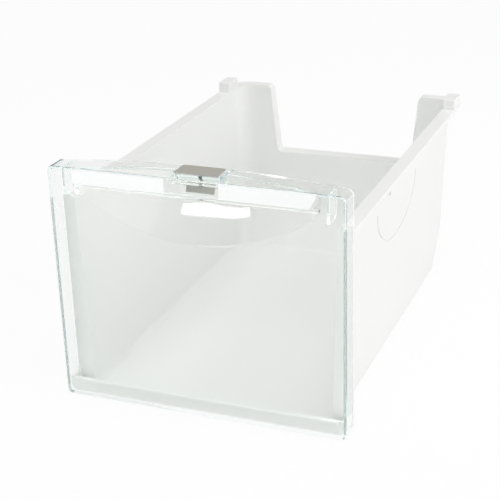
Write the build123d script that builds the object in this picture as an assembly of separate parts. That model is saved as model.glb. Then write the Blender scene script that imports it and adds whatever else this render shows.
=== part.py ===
from build123d import *
from math import sqrt
import os

# A fridge drawer: a white moulded tub, a clear moulded front panel with a grip bar, and a bare
# grey badge plate. Sizes are in millimetres. X runs across the drawer, Y from front to back and
# Z up. The origin lies under the middle of the drawer, on the surface that it stands on.
# The pieces are drawn with the panel's face at Y = 0 and moved to the origin at the end.

# Whole drawer
drawer_depth = 478.5
fit_clearance = 0.3
cut_margin = 1.0

# Clear front panel: a face with a skirt round it, and a top strip that bows out to the back
panel_width = 300.0
panel_height = 247.0
panel_wall = 3.0
panel_corner = 5.0
panel_edge = 2.0
skirt_depth = 23.0
top_bow = 18.0

# Grip recess and the bar in front of it
bar_end_margin = 27.5
bar_height = 18.5
bar_thickness = 3.0
bar_lip_depth = 7.0
bar_lip_height = 2.5
bar_edge = 1.0
recess_drop = 64.5
recess_end_drop = 22.6
recess_depth = 29.0
recess_wall = 2.5
recess_edge = 1.2

# Seat for the badge plate, a hollow block that bridges the recess behind the bar
seat_width = 50.0
seat_height = 9.0
seat_rise = 1.6
seat_wall = 2.5
seat_lip = 1.2
seat_corner = 1.5

# Badge plate, with a leaning tongue that goes down behind the recess's back wall
plate_from_face = 14.2
plate_width = 44.4
plate_depth = 21.6
plate_thickness = 1.2
plate_corner = 1.5
plate_edge = 0.3
plate_pocket = 0.8
tongue_width = 29.0
tongue_drop = 20.0
tongue_thickness = 1.2
tongue_gap = 0.7

# Ribs that brace the panel's top corners
rib_from_side = 17.0
rib_thickness = 2.5
rib_height = 28.0
rib_corner = 8.0

# White tub: side_lean and back_lean are how far its walls lean out between floor and rim, and
# the heel is the slanted foot of the back wall
tub_wall = 2.5
rim_height = 206.0
side_lean = 6.0
back_lean = 9.0
heel_height = 48.0
heel_depth = 33.0
heel_bend = 30.0
rear_corner = 22.0
bottom_edge = 10.0

# Flange round the rim, with a turned-down lip that is deeper where the drawer is carried
flange_width = 15.0
flange_thickness = 2.5
flange_lip = 4.0
flange_edge = 1.0
grip_lip = 9.0
grip_length = 150.0
grip_from_face = 147.0
groove_below_rim = 32.0
groove_drop = 48.0
groove_width = 2.4
groove_depth = 0.9

# Stop lugs on the side flanges, just before the flange turns the rear corners
lug_rear_gap = 28.0
lug_length = 28.5
lug_height = 12.0
lug_wall = 2.0
lug_edge = 1.5

# Front flange that the panel's skirt seats on, and its two ears above the rim
ear_height = 5.0
ear_corner = 6.0

# Sill behind the foot of the panel's face
sill_height = 18.0
sill_bead_height = 4.5
sill_bead_depth = 2.2
sill_corner = 6.0

# Notch in the back wall, between two tabs
tab_width = 38.6
tab_corner = 6.0
notch_depth = 84.5
notch_lean = 9.0
notch_corner = 5.0

# Sizes that follow from those above
bar_half = panel_width / 2 - bar_end_margin
bar_bottom = panel_height - bar_height
recess_foot = panel_height - recess_drop
seat_top = panel_height + seat_rise
plate_bottom = seat_top - plate_pocket
rim_half = panel_width / 2 - flange_width
rim_back = drawer_depth - flange_width + tub_wall
mouth = skirt_depth
strip_end = skirt_depth + top_bow
flange_end = drawer_depth - lug_rear_gap
side_slope = side_lean / rim_height
back_slope = back_lean / rim_height
heel_slope = heel_depth / heel_height


def arc_drop(x, half_chord, rise):
    """How far an arc of the given chord and rise falls back from its crown at x."""
    radius = (half_chord ** 2 + rise ** 2) / (2 * rise)
    return radius - sqrt(radius ** 2 - x ** 2)


def block(x_range, y_range, z_range):
    """A box between two limits along each axis."""
    (x0, x1), (y0, y1), (z0, z1) = x_range, y_range, z_range
    middle = Pos((x0 + x1) / 2, (y0 + y1) / 2, (z0 + z1) / 2)
    return middle * Box(x1 - x0, y1 - y0, z1 - z0)


def both_sides(piece):
    """A piece of the right-hand side together with its mirror image."""
    return piece + mirror(piece, about=Plane.YZ)


def slab(width, bottom, top, corner, y_range):
    """An upright slab across the drawer with rounded corners."""
    outline = Pos(0, (bottom + top) / 2) * RectangleRounded(width, top - bottom, corner)
    y0, y1 = y_range
    return Pos(0, y0, 0) * extrude(Plane.XZ * outline, amount=y0 - y1)


def recess_section(x, wall):
    """Triangle across the grip recess at x, or across its back wall where a wall is given."""
    foot = recess_foot + arc_drop(x, bar_half, recess_drop - recess_end_drop)
    reach = recess_depth - arc_drop(x, bar_half, recess_depth - bar_thickness)
    slope = reach / (panel_height - foot)
    front = panel_wall / 2 if wall else -cut_margin
    top = panel_height - panel_wall / 2 if wall else panel_height + cut_margin
    shift = wall * sqrt(1 + slope ** 2)
    low = foot + (front - shift) / slope
    back = slope * (top - foot) + shift
    return make_face(Polyline((x, front, low), (x, back, top), (x, front, top), close=True))


def recess_solid(half_length, wall):
    """Loft through the recess's sections from one end of the bar to the other."""
    steps = 8
    stations = [half_length * (2 * step / steps - 1) for step in range(steps + 1)]
    return loft([recess_section(x, wall) for x in stations])


def grip_bar():
    """Bar across the recess in the plane of the face, with a lip under it for the fingers."""
    outline = Polyline((0, bar_bottom), (bar_lip_depth, bar_bottom),
                       (bar_lip_depth, bar_bottom + bar_lip_height),
                       (bar_thickness, bar_bottom + bar_lip_height),
                       (bar_thickness, panel_height), (0, panel_height), close=True)
    profile = make_face(outline)
    profile = fillet(profile.vertices().group_by(Axis.X)[0].sort_by(Axis.Y)[0], bar_edge)
    profile = fillet(profile.vertices().group_by(Axis.X)[0].sort_by(Axis.Y)[-1], panel_edge)
    return extrude(Plane.YZ * profile, amount=bar_half + cut_margin, both=True)


def badge_seat():
    """Hollow block, open below and behind, that stands a little above the strip."""
    front = plate_from_face - fit_clearance - seat_lip
    back = plate_from_face + plate_depth + fit_clearance + seat_lip
    low = panel_height - seat_height
    seat = block((-seat_width / 2, seat_width / 2), (front, back), (low, seat_top))
    seat = fillet(seat.edges().filter_by(Axis.Z), seat_corner)
    hollow_half = seat_width / 2 - seat_wall
    return seat - block((-hollow_half, hollow_half), (front + seat_wall, back + cut_margin),
                        (low - cut_margin, panel_height - panel_wall))


def tongue(top, room):
    """Leaning leg behind the recess's back wall, up to the given height, with room added round it."""
    slope = recess_depth / recess_drop
    stretch = sqrt(1 + slope ** 2)
    low = panel_height - tongue_drop - room
    depth = (tongue_thickness + 2 * room) * stretch

    def front(height):
        return slope * (height - recess_foot) + (recess_wall + tongue_gap - room) * stretch

    outline = Polyline((front(low), low), (front(low) + depth, low), (front(top) + depth, top),
                       (front(top), top), close=True)
    return extrude(Plane.YZ * make_face(outline), amount=tongue_width / 2 + room, both=True)


def corner_rib():
    """Rib under the strip that braces the right-hand top corner, rounded at its free corner."""
    rib_x = panel_width / 2 - rib_from_side
    rib = block((rib_x - rib_thickness / 2, rib_x + rib_thickness / 2), (panel_wall / 2, skirt_depth),
                (panel_height - rib_height, panel_height - panel_wall / 2))
    return fillet(rib.edges().filter_by(Axis.X).group_by(Axis.Z)[0].sort_by(Axis.Y)[-1], rib_corner)


def front_panel():
    """Clear moulding: face, skirt, top strip, grip recess, bar, badge seat and corner ribs."""
    shell = slab(panel_width, 0, panel_height, panel_corner, (0, skirt_depth))
    shell = fillet(shell.faces().sort_by(Axis.Y)[0].edges(), panel_edge)
    shell -= slab(panel_width - 2 * panel_wall, panel_wall, panel_height - panel_wall,
                  panel_corner - panel_wall / 2, (panel_wall, skirt_depth + cut_margin))

    # The top strip bows out behind the skirt.
    bow_half = panel_width / 2 - panel_corner
    strip_start = skirt_depth - panel_wall
    bow = ThreePointArc((-bow_half, skirt_depth), (0, strip_end), (bow_half, skirt_depth))
    chord = Polyline((bow_half, skirt_depth), (bow_half, strip_start), (-bow_half, strip_start),
                     (-bow_half, skirt_depth))
    shell += Pos(0, 0, panel_height - panel_wall) * extrude(make_face(bow + chord), amount=panel_wall)

    # The recess's back wall goes in first, then the hollow is cut through strip and face.
    shell += recess_solid(bar_half + recess_wall, recess_wall)
    shell -= recess_solid(bar_half, 0)
    smile = shell.edges().filter_by(GeomType.LINE, reverse=True).filter_by_position(Axis.Y, -cut_margin, 0.01)
    smile = smile.filter_by_position(Axis.Z, recess_foot - cut_margin, panel_height - panel_corner)
    shell = fillet(smile, recess_edge)
    shell += grip_bar()

    # The seat has a closed pocket for the plate, with a slot in it for the tongue.
    shell += badge_seat()
    pocket_half = plate_width / 2 + fit_clearance
    shell -= block((-pocket_half, pocket_half),
                   (plate_from_face - fit_clearance, plate_from_face + plate_depth + fit_clearance),
                   (plate_bottom, seat_top + cut_margin))
    shell -= tongue(seat_top + cut_margin, fit_clearance)
    return shell + both_sides(corner_rib())


def badge_plate():
    """Bare grey plate with rounded corners that lies in its pocket, and the tongue under it."""
    outline = RectangleRounded(plate_width, plate_depth, plate_corner)
    plate = Pos(0, plate_from_face + plate_depth / 2, plate_bottom) * extrude(outline, amount=plate_thickness)
    plate = chamfer(plate.faces().sort_by(Axis.Z)[-1].edges(), plate_edge)
    return plate + tongue(plate_bottom + plate_thickness / 2, 0)


def tub_block(inset, front, bottom, top):
    """Block with the tub's leaning sides, back and heel, set in from its outside by inset."""
    back_stretch = sqrt(1 + back_slope ** 2)
    heel_stretch = sqrt(1 + heel_slope ** 2)
    bend = heel_height + inset * (heel_stretch - back_stretch) / (heel_slope - back_slope)

    def half_at(height):
        return rim_half + tub_wall - side_slope * (rim_height - height) - inset * sqrt(1 + side_slope ** 2)

    def back_at(height):
        return rim_back - back_slope * (rim_height - height) - inset * back_stretch

    across = make_face(Polyline((-half_at(bottom), bottom), (half_at(bottom), bottom),
                                (half_at(top), top), (-half_at(top), top), close=True))
    floor_end = back_at(bend) - heel_slope * (bend - bottom)
    along = make_face(Polyline((front, bottom), (floor_end, bottom), (back_at(bend), bend),
                               (back_at(top), top), (front, top), close=True))
    along = fillet(along.vertices().group_by(Axis.Y)[1], heel_bend - inset)
    body = extrude(Plane.XZ * across, amount=-2 * drawer_depth)
    body &= extrude(Plane.YZ * along, amount=panel_width, both=True)
    corners = body.edges().filter_by(Axis.X, reverse=True)
    corners = corners.filter_by_position(Axis.Y, floor_end, drawer_depth)
    body = fillet(corners, rear_corner - inset)
    return fillet(body.faces().sort_by(Axis.Z)[0].edges().sort_by(Axis.Y)[1:], bottom_edge - inset)


def runner_flange():
    """Flange on the right-hand rim: its turned-down lip, the carrying lip and the hollow stop lug."""
    outside = rim_half + flange_width
    lip_x = (outside - flange_thickness, outside)
    flange = block((rim_half + tub_wall / 2, outside), (mouth, flange_end),
                   (rim_height - flange_thickness, rim_height))
    flange += block(lip_x, (mouth, flange_end), (rim_height - flange_lip, rim_height))
    flange += block(lip_x, (grip_from_face, grip_from_face + grip_length), (rim_height - grip_lip, rim_height))
    outer_edge = flange.edges().filter_by(Axis.Y).group_by(Axis.Z)[-1].sort_by(Axis.X)[-1]
    flange = fillet(outer_edge, flange_edge)
    lug_start = flange_end - lug_length
    lug = block((rim_half + fit_clearance, outside), (lug_start, flange_end),
                (rim_height - flange_thickness, rim_height + lug_height))
    lug = fillet(lug.edges().filter_by(Axis.Z), lug_edge)
    lug = chamfer(lug.faces().sort_by(Axis.Z)[-1].edges(), lug_edge / 2)
    hollow = block((rim_half + tub_wall + lug_wall, outside - lug_wall),
                   (lug_start + lug_wall, flange_end - lug_wall),
                   (rim_height - flange_lip - cut_margin, rim_height + lug_height - lug_wall))
    return flange + lug - hollow


def notch_prism(grow, end):
    """Prism through the back wall with the notch's outline, grown all round, up to the given depth."""
    high_half = rim_half - tab_width
    low_half = high_half - notch_lean
    wide = high_half + 2 * tab_corner
    low = rim_height - notch_depth
    high = rim_height + notch_depth
    outline = make_face(Polyline((-low_half, low), (low_half, low), (high_half, rim_height),
                                 (wide, rim_height), (wide, high), (-wide, high), (-wide, rim_height),
                                 (-high_half, rim_height), close=True))
    outline = fillet(outline.vertices().group_by(Axis.Y)[0], notch_corner)
    rim_corners = outline.vertices().filter_by_position(Axis.Y, rim_height - 0.01, rim_height + 0.01)
    outline = fillet(rim_corners.sort_by(Axis.X)[1:-1], tab_corner)
    if grow:
        outline = offset(outline, grow)
    start = rim_back - back_lean - rear_corner
    return Pos(0, start, 0) * extrude(Plane.XZ * outline, amount=start - end)


def rear_flange():
    """Flange that carries on round the rear corners of the rim and follows the notch's outline."""
    outside = rim_half + flange_width
    start = flange_end - lug_wall / 2
    plan = make_face(Polyline((-outside, start), (outside, start), (outside, drawer_depth),
                              (-outside, drawer_depth), close=True))
    plan = fillet(plan.vertices().group_by(Axis.Y)[-1], lug_rear_gap)
    plate = Pos(0, 0, rim_height - flange_thickness) * extrude(plan, amount=flange_thickness)
    notch_half = rim_half - tab_width + tab_corner
    collar = notch_prism(flange_thickness, drawer_depth)
    return plate + (collar & block((-notch_half, notch_half), (0, 2 * drawer_depth), (0, rim_height)))


def front_flange():
    """Plate that the panel's skirt seats on, with an ear above each end of the rim."""
    plate = slab(panel_width, 0, rim_height + ear_height, panel_corner, (mouth, mouth + tub_wall))
    plate -= block((-rim_half, rim_half), (mouth - cut_margin, mouth + tub_wall + cut_margin),
                   (rim_height - ear_corner, rim_height + ear_height + cut_margin))
    inner_edges = plate.edges().filter_by(Axis.Y)
    inner_edges = inner_edges.filter_by_position(Axis.X, -rim_half - cut_margin, rim_half + cut_margin)
    return fillet(inner_edges.group_by(Axis.Z)[-1], ear_corner)


def front_sill():
    """Shallow trough inside the panel's skirt, with a beaded front edge and a threshold to the floor."""
    half = panel_width / 2 - panel_wall - fit_clearance
    low = panel_wall + fit_clearance
    face = low + sill_bead_depth
    trough = slab(2 * half, low, sill_height + sill_corner, sill_corner, (face, mouth + tub_wall))
    trough -= slab(2 * (half - tub_wall), low + tub_wall, sill_height + 3 * sill_corner,
                   sill_corner - tub_wall, (face + tub_wall, mouth + tub_wall + cut_margin))
    trough -= block((-panel_width, panel_width), (0, 2 * mouth), (sill_height, 2 * sill_height))
    bead = block((-half + sill_corner, half - sill_corner), (low, face + tub_wall),
                 (sill_height - sill_bead_height, sill_height))
    bead = fillet(bead.edges().filter_by(Axis.X).group_by(Axis.Y)[0], sill_bead_depth / 2)
    threshold = block((-rim_half, rim_half), (mouth, mouth + tub_wall), (0, low + tub_wall))
    return trough + bead + threshold


def carry_groove():
    """U-shaped groove that marks the carrying place on the right-hand wall."""
    wall_x = rim_half + tub_wall - side_slope * groove_below_rim
    middle = (wall_x, grip_from_face + grip_length / 2, rim_height - groove_below_rim)
    wall_face = Plane(origin=middle, x_dir=(0, 1, 0), z_dir=(1, 0, -side_slope))
    outside = Ellipse((grip_length + groove_width) / 2, groove_drop + groove_width / 2)
    inside = Ellipse((grip_length - groove_width) / 2, groove_drop - groove_width / 2)
    lower_half = Pos(0, -groove_drop) * Rectangle(2 * grip_length, 2 * groove_drop)
    band = (outside - inside) & lower_half
    return extrude(wall_face.offset(cut_margin) * band, amount=-(groove_depth + cut_margin))


def tub():
    """White moulding: leaning walls and floor, rim flange, sill, stop lugs, notch and carrying grooves."""
    shell = tub_block(0, mouth, 0, rim_height) + front_flange() + rear_flange()
    shell -= tub_block(tub_wall, mouth - tub_wall, tub_wall, rim_height + cut_margin)
    shell -= notch_prism(0, drawer_depth + cut_margin)
    shell += front_sill() + both_sides(runner_flange())
    return shell - both_sides(carry_groove())


pieces = {"tub": tub(), "front_panel": front_panel(), "badge_plate": badge_plate()}
to_origin = Pos(0, -drawer_depth / 2, 0)
os.makedirs("parts", exist_ok=True)
for name, piece in pieces.items():
    export_step(to_origin * piece, f"parts/{name}.step")
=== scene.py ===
import math

import bpy
from mathutils import Matrix, Vector


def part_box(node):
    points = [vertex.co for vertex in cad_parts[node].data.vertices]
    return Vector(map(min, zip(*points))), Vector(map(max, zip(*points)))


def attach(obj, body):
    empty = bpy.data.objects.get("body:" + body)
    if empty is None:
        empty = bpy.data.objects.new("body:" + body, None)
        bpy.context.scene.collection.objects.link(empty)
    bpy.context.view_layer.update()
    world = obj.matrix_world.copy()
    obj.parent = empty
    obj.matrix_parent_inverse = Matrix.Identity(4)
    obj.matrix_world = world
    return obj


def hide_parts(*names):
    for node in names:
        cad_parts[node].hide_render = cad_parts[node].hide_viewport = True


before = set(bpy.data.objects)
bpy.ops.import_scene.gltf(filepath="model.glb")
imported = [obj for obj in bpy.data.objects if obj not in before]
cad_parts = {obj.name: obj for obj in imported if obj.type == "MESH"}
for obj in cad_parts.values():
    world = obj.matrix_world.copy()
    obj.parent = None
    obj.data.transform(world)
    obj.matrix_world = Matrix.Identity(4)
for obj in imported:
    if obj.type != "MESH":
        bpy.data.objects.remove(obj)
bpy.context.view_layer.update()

# TUB
# The drawer's body: floor, leaning walls, runner flanges, stop lugs and front sill in one piece.
# White polystyrene, injection moulded in a steel mould with a fine satin texture.
TUB_WHITE = (0.9, 0.905, 0.893, 1.0)
TUB_ROUGHNESS = 0.42
TUB_IOR = 1.55
CREASE_DEGREES = 32
WELD_DISTANCE = 0.000002
CLOUDS_PER_METRE = 9.0
GRAIN_HEIGHT = 0.0001


def merged_copy(node_name, piece_name):
    """A copy of a CAD node with its loose triangles merged, at the origin and selected."""
    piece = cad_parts[node_name].copy()
    piece.data = piece.data.copy()
    piece.name = piece_name
    piece.data.name = piece_name
    piece.parent = None
    piece.matrix_world = Matrix.Identity(4)
    bpy.context.collection.objects.link(piece)
    bpy.ops.object.select_all(action="DESELECT")
    piece.select_set(True)
    bpy.context.view_layer.objects.active = piece
    bpy.ops.mesh.customdata_custom_splitnormals_clear()
    bpy.ops.object.mode_set(mode="EDIT")
    bpy.ops.mesh.select_all(action="SELECT")
    bpy.ops.mesh.remove_doubles(threshold=WELD_DISTANCE)
    bpy.ops.object.mode_set(mode="OBJECT")
    return piece


def stand_for(piece, node_name, crease_degrees):
    """Shades a merged copy smooth up to a crease angle and lets it stand for its node."""
    bpy.ops.object.select_all(action="DESELECT")
    piece.select_set(True)
    bpy.context.view_layer.objects.active = piece
    bpy.ops.object.shade_smooth_by_angle(angle=math.radians(crease_degrees))
    weighted = piece.modifiers.new("face_weighted_normals", "WEIGHTED_NORMAL")
    weighted.mode = "FACE_AREA"
    weighted.weight = 100
    weighted.keep_sharp = True
    bpy.ops.object.modifier_apply(modifier=weighted.name)
    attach(piece, "root")
    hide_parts(node_name)


def moulded_skin_group():
    """Shader group for the skin that a mould leaves: faint clouds, uneven gloss, fine grain."""
    group = bpy.data.node_groups.new("moulded_skin", "ShaderNodeTree")
    sockets = group.interface
    for label, kind, value in (("Color", "NodeSocketColor", (0.8, 0.8, 0.8, 1.0)),
                               ("Cloudiness", "NodeSocketFloat", 0.02),
                               ("Roughness", "NodeSocketFloat", 0.4),
                               ("Roughness Spread", "NodeSocketFloat", 0.05),
                               ("Grain Size", "NodeSocketFloat", 0.0006),
                               ("Grain Depth", "NodeSocketFloat", 0.1)):
        socket = sockets.new_socket(name=label, in_out="INPUT", socket_type=kind)
        socket.default_value = value
    sockets.new_socket(name="Color", in_out="OUTPUT", socket_type="NodeSocketColor")
    sockets.new_socket(name="Roughness", in_out="OUTPUT", socket_type="NodeSocketFloat")
    sockets.new_socket(name="Normal", in_out="OUTPUT", socket_type="NodeSocketVector")
    nodes, links = group.nodes, group.links
    given = nodes.new("NodeGroupInput")
    result = nodes.new("NodeGroupOutput")
    place = nodes.new("ShaderNodeTexCoord")

    clouds = nodes.new("ShaderNodeTexNoise")
    clouds.inputs["Scale"].default_value = CLOUDS_PER_METRE
    clouds.inputs["Detail"].default_value = 3.0
    links.new(place.outputs["Object"], clouds.inputs["Vector"])
    swing = nodes.new("ShaderNodeMath")
    swing.operation = "SUBTRACT"
    swing.inputs[1].default_value = 0.5
    links.new(clouds.outputs["Fac"], swing.inputs[0])
    shade = nodes.new("ShaderNodeMath")
    shade.operation = "MULTIPLY_ADD"
    shade.inputs[2].default_value = 1.0
    links.new(swing.outputs[0], shade.inputs[0])
    links.new(given.outputs["Cloudiness"], shade.inputs[1])
    tint = nodes.new("ShaderNodeVectorMath")
    tint.operation = "SCALE"
    links.new(given.outputs["Color"], tint.inputs[0])
    links.new(shade.outputs[0], tint.inputs["Scale"])
    links.new(tint.outputs["Vector"], result.inputs["Color"])

    gloss = nodes.new("ShaderNodeMath")
    gloss.operation = "MULTIPLY_ADD"
    links.new(swing.outputs[0], gloss.inputs[0])
    links.new(given.outputs["Roughness Spread"], gloss.inputs[1])
    links.new(given.outputs["Roughness"], gloss.inputs[2])
    links.new(gloss.outputs[0], result.inputs["Roughness"])

    pitch = nodes.new("ShaderNodeMath")
    pitch.operation = "DIVIDE"
    pitch.inputs[0].default_value = 1.0
    links.new(given.outputs["Grain Size"], pitch.inputs[1])
    grain = nodes.new("ShaderNodeTexNoise")
    grain.inputs["Detail"].default_value = 1.0
    links.new(place.outputs["Object"], grain.inputs["Vector"])
    links.new(pitch.outputs[0], grain.inputs["Scale"])
    bump = nodes.new("ShaderNodeBump")
    bump.inputs["Distance"].default_value = GRAIN_HEIGHT
    links.new(grain.outputs["Fac"], bump.inputs["Height"])
    links.new(given.outputs["Grain Depth"], bump.inputs["Strength"])
    links.new(bump.outputs["Normal"], result.inputs["Normal"])
    return group


moulded_skin = moulded_skin_group()


def moulded_material(name, color, ior, cloudiness, roughness, spread, grain_size, grain_depth):
    """A Principled material whose colour, gloss and grain come from the moulded skin group."""
    material = bpy.data.materials.new(name)
    material.use_nodes = True
    shader = material.node_tree.nodes["Principled BSDF"]
    shader.inputs["IOR"].default_value = ior
    skin = material.node_tree.nodes.new("ShaderNodeGroup")
    skin.node_tree = moulded_skin
    skin.inputs["Color"].default_value = color
    skin.inputs["Cloudiness"].default_value = cloudiness
    skin.inputs["Roughness"].default_value = roughness
    skin.inputs["Roughness Spread"].default_value = spread
    skin.inputs["Grain Size"].default_value = grain_size
    skin.inputs["Grain Depth"].default_value = grain_depth
    links = material.node_tree.links
    links.new(skin.outputs["Color"], shader.inputs["Base Color"])
    links.new(skin.outputs["Roughness"], shader.inputs["Roughness"])
    links.new(skin.outputs["Normal"], shader.inputs["Normal"])
    return material


tub = merged_copy("tub", "tub_moulding")
stand_for(tub, "tub", CREASE_DEGREES)
white_plastic = moulded_material(
    "white_polystyrene", TUB_WHITE, TUB_IOR, cloudiness=0.02, roughness=TUB_ROUGHNESS,
    spread=0.08, grain_size=0.0007, grain_depth=0.12)
tub.data.materials.clear()
tub.data.materials.append(white_plastic)

# FRONT PANEL
# The clear front: face, skirt, bowed top strip, scooped grip recess, bar and badge seat.
# One moulding in polished crystal polystyrene, faintly blue-green through its edges. Its skirt
# meets the tub's front flange. A silver foil band lies on the bar's back, beside its middle.
PANEL_TINT = (0.995, 0.996, 0.988, 1.0)
PANEL_IOR = 1.52
PANEL_DEPTH_TINT = (0.45, 0.86, 0.88, 1.0)
PANEL_DEPTH_DENSITY = 7.0
PANEL_LAMP_PASS = (0.955, 0.97, 0.965, 1.0)
PANEL_CREASE_DEGREES = 15
FOIL_SILVER = (0.97, 0.975, 0.975, 1.0)
FOIL_ROUGHNESS = 0.15

PANEL_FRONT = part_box("front_panel")[0][1]
SKIRT_END = PANEL_FRONT + 0.023
BAR_BACK = PANEL_FRONT + 0.003
BAR_LIP_TOP = 0.231
BAR_HALF = 0.1225
FOIL_GAP_HALF = 0.0275
POCKET_FLOOR = 0.2478
POCKET_HALF = 0.0226
SLOT_HALF = 0.0148
SLOT_FOOT = 0.243
NECK_SLOT_HALF = 0.0018
SEATING_GAP = 0.0003
ON_PLANE = 0.00001
FACING_BACK = 0.9


def select_points(piece, chosen):
    """Goes into edit mode with only the chosen points of a piece selected."""
    bpy.context.view_layer.objects.active = piece
    bpy.ops.object.mode_set(mode="EDIT")
    bpy.ops.mesh.select_mode(type="VERT")
    bpy.ops.mesh.select_all(action="DESELECT")
    bpy.ops.object.mode_set(mode="OBJECT")
    for point in piece.data.vertices:
        point.select = chosen(point.co)
    bpy.ops.object.mode_set(mode="EDIT")


def move_points(piece, chosen, step):
    """Moves the chosen points of a piece by one step."""
    select_points(piece, chosen)
    bpy.ops.transform.translate(value=step)
    bpy.ops.object.mode_set(mode="OBJECT")


def on_skirt_end(point):
    """Whether a point lies on the end of the skirt, next to the tub's flange."""
    return abs(point.y - SKIRT_END) < ON_PLANE


def on_pocket_floor(point):
    """Whether a point lies on the floor of the pocket, under the badge plate."""
    return abs(point.z - POCKET_FLOOR) < ON_PLANE and abs(point.x) < POCKET_HALF


def on_bar_back(point):
    """Whether a point lies on the back of the bar, above its lip."""
    in_plane = abs(point.y - BAR_BACK) < ON_PLANE
    return in_plane and point.z > BAR_LIP_TOP - ON_PLANE and abs(point.x) < BAR_HALF + ON_PLANE


panel = merged_copy("front_panel", "front_panel_moulding")
move_points(panel, on_skirt_end, (0.0, -SEATING_GAP, 0.0))
move_points(panel, on_pocket_floor, (0.0, 0.0, -SEATING_GAP))
for side in (-1.0, 1.0):
    move_points(panel,
                lambda point: abs(point.x - side * SLOT_HALF) < ON_PLANE and point.z > SLOT_FOOT,
                (side * (NECK_SLOT_HALF - SLOT_HALF), 0.0, 0.0))
    select_points(panel, on_bar_back)
    bpy.ops.mesh.select_mode(type="FACE")
    bpy.ops.mesh.bisect(plane_co=(side * FOIL_GAP_HALF, 0.0, 0.0), plane_no=(1.0, 0.0, 0.0))
    bpy.ops.object.mode_set(mode="OBJECT")
stand_for(panel, "front_panel", PANEL_CREASE_DEGREES)

clear_plastic = moulded_material(
    "clear_polystyrene", PANEL_TINT, PANEL_IOR, cloudiness=0.01, roughness=0.02,
    spread=0.02, grain_size=0.004, grain_depth=0.01)
clear_nodes, clear_links = clear_plastic.node_tree.nodes, clear_plastic.node_tree.links
clear_shader = clear_nodes["Principled BSDF"]
clear_shader.inputs["Transmission Weight"].default_value = 1.0
lamp_pass = clear_nodes.new("ShaderNodeBsdfTransparent")
lamp_pass.inputs["Color"].default_value = PANEL_LAMP_PASS
ray_kind = clear_nodes.new("ShaderNodeLightPath")
lamp_mix = clear_nodes.new("ShaderNodeMixShader")
clear_out = clear_nodes["Material Output"]
clear_links.new(ray_kind.outputs["Is Shadow Ray"], lamp_mix.inputs["Fac"])
clear_links.new(clear_shader.outputs["BSDF"], lamp_mix.inputs[1])
clear_links.new(lamp_pass.outputs["BSDF"], lamp_mix.inputs[2])
clear_links.new(lamp_mix.outputs["Shader"], clear_out.inputs["Surface"])
depth_tint = clear_nodes.new("ShaderNodeVolumeAbsorption")
depth_tint.inputs["Color"].default_value = PANEL_DEPTH_TINT
depth_tint.inputs["Density"].default_value = PANEL_DEPTH_DENSITY
clear_links.new(depth_tint.outputs["Volume"], clear_out.inputs["Volume"])

bar_foil = bpy.data.materials.new("silver_bar_foil")
bar_foil.use_nodes = True
foil_shader = bar_foil.node_tree.nodes["Principled BSDF"]
foil_shader.inputs["Base Color"].default_value = FOIL_SILVER
foil_shader.inputs["Metallic"].default_value = 1.0
foil_shader.inputs["Roughness"].default_value = FOIL_ROUGHNESS
panel.data.materials.clear()
panel.data.materials.append(clear_plastic)
panel.data.materials.append(bar_foil)
for facet in panel.data.polygons:
    beside_gap = facet.normal.y > FACING_BACK and abs(facet.center.x) > FOIL_GAP_HALF
    if beside_gap and all(on_bar_back(panel.data.vertices[corner].co) for corner in facet.vertices):
        facet.material_index = 1

# BADGE PLATE
# A thin bare plate in the pocket on top of the panel, held between the pocket's low edges.
# Warm grey satin plastic. A tongue on a narrow neck goes down from it through a slot in the pocket.
PLATE_GREY = (0.41, 0.4, 0.35, 1.0)
PLATE_ROUGHNESS = 0.38
PLATE_IOR = 1.5
PLATE_UNDERSIDE = 0.2477
TONGUE_TOP = 0.2325
TONGUE_Y = -0.21
NECK_HALF = 0.0015
WASTE_WIDTH = 0.02
WASTE_DEPTH = 0.03

badge = merged_copy("badge_plate", "badge_plate_bare")
for side in (-1.0, 1.0):
    bpy.ops.object.select_all(action="DESELECT")
    middle = (side * (NECK_HALF + WASTE_WIDTH / 2), TONGUE_Y, (TONGUE_TOP + PLATE_UNDERSIDE) / 2)
    size = (WASTE_WIDTH, WASTE_DEPTH, PLATE_UNDERSIDE - TONGUE_TOP)
    bpy.ops.mesh.primitive_cube_add(size=1.0, location=middle, scale=size)
    waste = bpy.context.object
    cut = badge.modifiers.new("neck", "BOOLEAN")
    cut.object = waste
    cut.operation = "DIFFERENCE"
    bpy.context.view_layer.objects.active = badge
    bpy.ops.object.modifier_apply(modifier=cut.name)
    bpy.ops.object.delete()
stand_for(badge, "badge_plate", CREASE_DEGREES)
grey_plate = moulded_material(
    "warm_grey_satin", PLATE_GREY, PLATE_IOR, cloudiness=0.06, roughness=PLATE_ROUGHNESS,
    spread=0.1, grain_size=0.0004, grain_depth=0.1)
badge.data.materials.clear()
badge.data.materials.append(grey_plate)

# FLOOR
# A plain white table under the drawer. It looks white to the camera and keeps a faint shadow.
# The camera, mirror images and clear plastic all see the same white.
FLOOR_HALF = 6.0
FLOOR_PALE = (0.92, 0.92, 0.92, 1.0)
FLOOR_ROUGHNESS = 0.9
FLOOR_GLOW = 0.93
WHITE = (1.0, 1.0, 1.0, 1.0)


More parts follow.
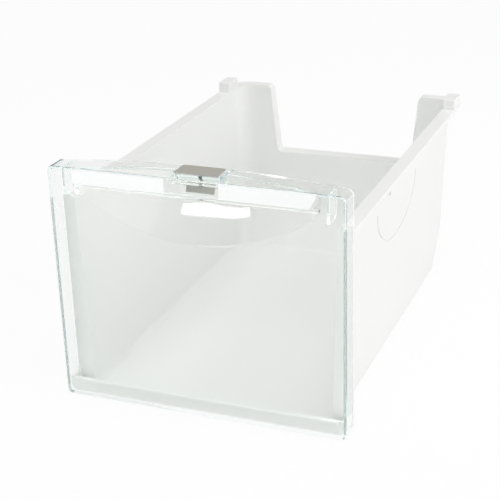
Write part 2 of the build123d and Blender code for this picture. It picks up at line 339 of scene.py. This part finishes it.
def white_for_camera(tree, ground_shader, glow_share, rays):
    """Mixes a white glow into a shader for the given kinds of ray, all of which end in the eye."""
    nodes, links = tree.nodes, tree.links
    path = nodes.new("ShaderNodeLightPath")
    seen = None
    for ray in rays:
        if seen is None:
            seen = path.outputs[ray]
            continue
        either = nodes.new("ShaderNodeMath")
        either.operation = "MAXIMUM"
        links.new(seen, either.inputs[0])
        links.new(path.outputs[ray], either.inputs[1])
        seen = either.outputs[0]
    share = nodes.new("ShaderNodeMath")
    share.operation = "MULTIPLY"
    share.inputs[1].default_value = glow_share
    links.new(seen, share.inputs[0])
    is_world = nodes.get("World Output") is not None
    glow = nodes.new("ShaderNodeBackground" if is_world else "ShaderNodeEmission")
    glow.inputs["Color"].default_value = WHITE
    glow.inputs["Strength"].default_value = 1.0
    blend = nodes.new("ShaderNodeMixShader")
    links.new(share.outputs[0], blend.inputs["Fac"])
    links.new(ground_shader.outputs[0], blend.inputs[1])
    links.new(glow.outputs[0], blend.inputs[2])
    output = nodes["World Output" if is_world else "Material Output"]
    links.new(blend.outputs[0], output.inputs["Surface"])


bpy.ops.object.select_all(action="DESELECT")
bpy.ops.mesh.primitive_plane_add(size=2 * FLOOR_HALF, location=(0, 0, 0))
floor = bpy.context.object
floor.name = "floor"
floor_paint = bpy.data.materials.new("white_table")
floor_paint.use_nodes = True
floor_shader = floor_paint.node_tree.nodes["Principled BSDF"]
floor_shader.inputs["Base Color"].default_value = FLOOR_PALE
floor_shader.inputs["Roughness"].default_value = FLOOR_ROUGHNESS
white_for_camera(floor_paint.node_tree, floor_shader, FLOOR_GLOW,
                 ("Is Camera Ray", "Is Glossy Ray", "Is Transmission Ray"))
floor.data.materials.append(floor_paint)

# LIGHT
# A pale studio: even light from all round, and large softboxes at the right, above and in front.
# A low strip and an arc of small lamps, front left, make the highlight in the grip recess.
AIR_STRENGTH = 0.5
DRAWER_MIDDLE = (0, 0, 0.1)
SCOOP = (0.018, -0.226, 0.214)
ARC_LAMPS = 7
ARC_MIDDLE = Vector((-0.7296, -1.5223, 0.8334))
ARC_REACH = Vector((-0.1691, 0.0845, -0.0647))
ARC_SAG = 0.0279

world = bpy.data.worlds.new("studio")
bpy.context.scene.world = world
world.use_nodes = True
studio_air = world.node_tree.nodes["Background"]
studio_air.inputs["Color"].default_value = WHITE
studio_air.inputs["Strength"].default_value = AIR_STRENGTH
white_for_camera(world.node_tree, studio_air, 1.0, ("Is Camera Ray", "Is Transmission Ray"))


def softbox(name, place, aim, width, height, watts):
    """An area lamp at one point that faces another."""
    bpy.ops.object.light_add(type="AREA", location=place)
    lamp = bpy.context.object
    lamp.name = name
    lamp.data.shape = "RECTANGLE"
    lamp.data.size = width
    lamp.data.size_y = height
    lamp.data.energy = watts
    lamp.rotation_euler = (Vector(aim) - Vector(place)).to_track_quat("-Z", "Y").to_euler()
    return lamp


softbox("softbox_right", (1.9, 0.1, 1.2), DRAWER_MIDDLE, width=1.6, height=1.6, watts=18.5)
softbox("softbox_top", (0, -0.15, 2.3), DRAWER_MIDDLE, width=1.8, height=1.8, watts=15.5)
softbox("softbox_front", (0.3, -2.6, 1.1), DRAWER_MIDDLE, width=2.0, height=2.0, watts=5.5)
softbox("low_strip", (-0.5, -1.75, 0.2), SCOOP, width=0.36, height=0.08, watts=1.3)
for step in range(ARC_LAMPS):
    along = (2 * step + 1) / ARC_LAMPS - 1
    place = ARC_MIDDLE + along * ARC_REACH - Vector((0, 0, ARC_SAG * along ** 2))
    lamp = softbox(f"strip_{step}", place, SCOOP, width=0.06, height=0.024, watts=0.045)
    fall = 2 * ARC_SAG * along - ARC_REACH.z
    tilt = Matrix.Rotation(math.atan2(fall, ARC_REACH.xy.length), 3, "Z")
    lamp.rotation_euler = (lamp.rotation_euler.to_matrix() @ tilt).to_euler()

# CAMERA
# The photograph's viewpoint, from the front right and above, with a long lens and a slight roll.
# Light may bounce often enough to find its way out of the clear panel.
EYE = Vector((0.4576, -1.2177, 0.629))
AZIMUTH = 0.388
ELEVATION = 0.397
ROLL = 0.032
LENS_MM = 90.0
SENSOR_MM = 36.0
NEAREST = 0.05
LIGHT_BOUNCES = 32

level = math.cos(ELEVATION)
back = Vector((math.sin(AZIMUTH) * level, -math.cos(AZIMUTH) * level, math.sin(ELEVATION)))
right = (-back).cross(Vector((0, 0, 1))).normalized()
down = (-back).cross(right).normalized()
image_right = math.cos(ROLL) * right + math.sin(ROLL) * down
image_up = math.sin(ROLL) * right - math.cos(ROLL) * down
turn = Matrix((image_right, image_up, back)).transposed().to_4x4()
bpy.ops.object.camera_add()
camera = bpy.context.object
camera.name = "camera"
camera.data.lens = LENS_MM
camera.data.sensor_width = SENSOR_MM
camera.data.clip_start = NEAREST
camera.matrix_world = Matrix.Translation(EYE) @ turn
bpy.context.scene.camera = camera
bpy.context.scene.view_settings.view_transform = "Standard"
bpy.context.scene.cycles.max_bounces = LIGHT_BOUNCES
bpy.context.scene.cycles.transmission_bounces = LIGHT_BOUNCES
bpy.context.scene.cycles.glossy_bounces = LIGHT_BOUNCES
